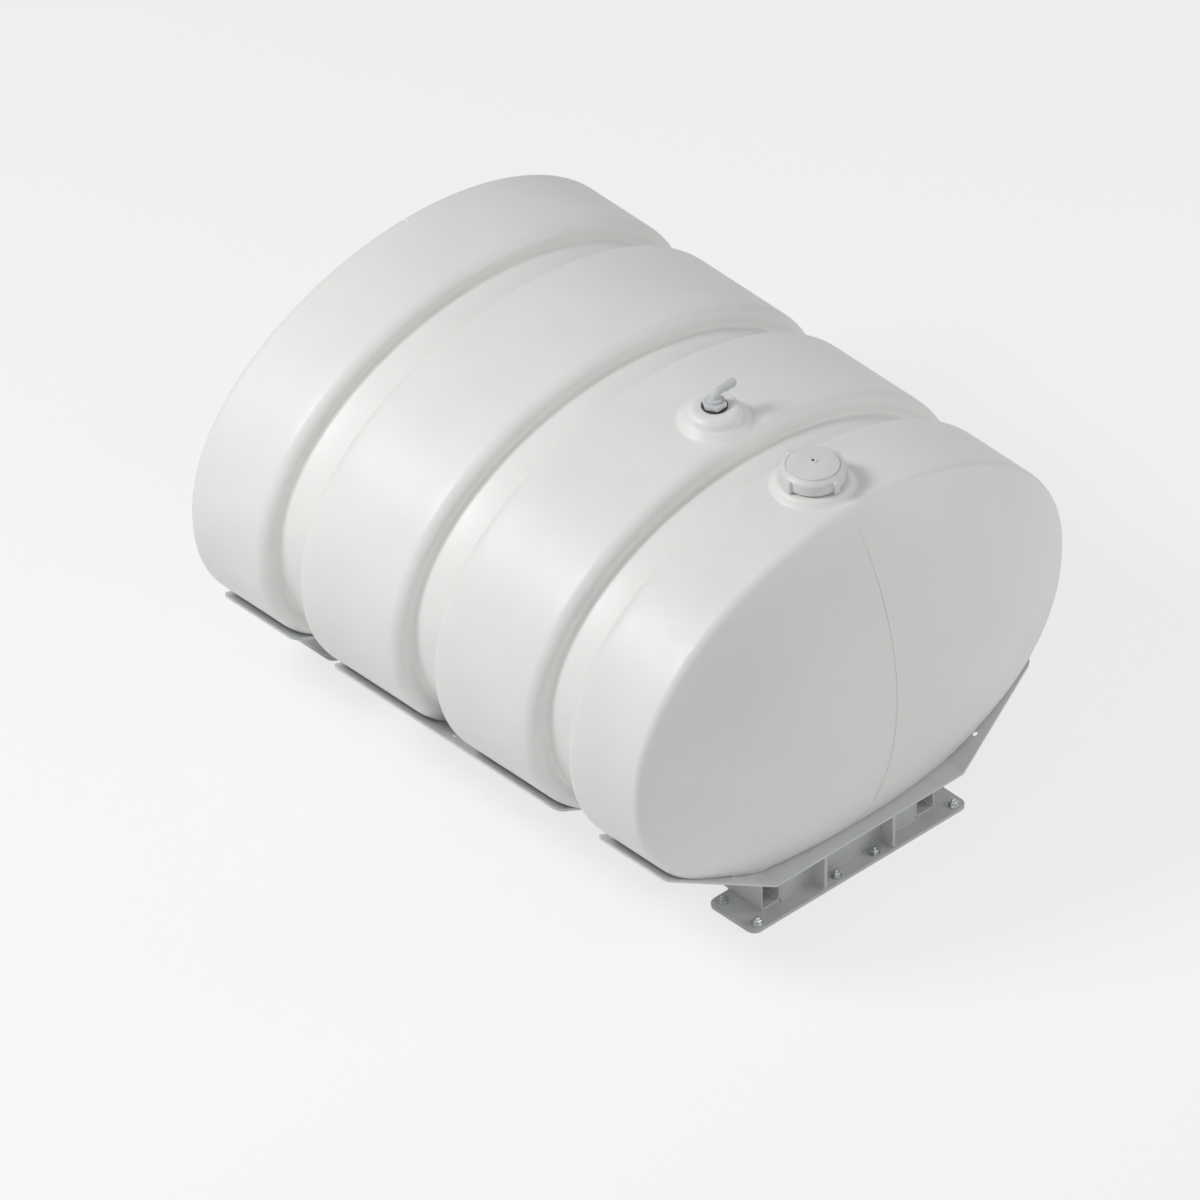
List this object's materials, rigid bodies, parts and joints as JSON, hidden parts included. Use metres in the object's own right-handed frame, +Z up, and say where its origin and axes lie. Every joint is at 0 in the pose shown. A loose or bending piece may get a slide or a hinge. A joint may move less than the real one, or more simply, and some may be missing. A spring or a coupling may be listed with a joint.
{
  "type": "horizontal elliptical storage tank on a cradle",
  "caption": "Horizontal elliptical plastic tank with strap grooves, filler cap and vent elbow, lying on folded steel saddles with bolted base plates.",
  "frame": {"origin": "on the floor, under the middle of the tank", "axes": "+X across the tank, +Y along it away from the filler end, +Z up"},
  "size_m": [1.22, 1.598, 1.0186],
  "materials": {
    "tank_skin": "moulded polyethylene, fine satin texture",
    "filler_plastic": "moulded, satin",
    "seal_rubber": "matt",
    "vent_plastic": "moulded, satin",
    "saddle_steel": "powder coated, satin",
    "frame_steel": "powder coated, satin"
  },
  "bodies": {
    "root": {"barrel_front": "tank_skin", "barrel_front_middle": "tank_skin", "barrel_rear_middle": "tank_skin", "barrel_rear": "tank_skin", "front_end": "tank_skin", "rear_end": "tank_skin", "filler_neck": "filler_plastic", "filler_cap": "filler_plastic", "cap_breather": "filler_plastic", "filler_gasket": "seal_rubber", "vent_washer": "seal_rubber", "vent_nut": "vent_plastic", "vent_elbow": "vent_plastic", "front_saddle": "saddle_steel", "middle_saddle": "saddle_steel", "rear_saddle": "saddle_steel", "left_rail": "frame_steel", "right_rail": "frame_steel", "front_cross_member": "frame_steel", "rear_cross_member": "frame_steel", "front_gussets": "frame_steel", "rear_gussets": "frame_steel", "front_base_plate": "frame_steel", "rear_base_plate": "frame_steel"}
  },
  "joints": []
}
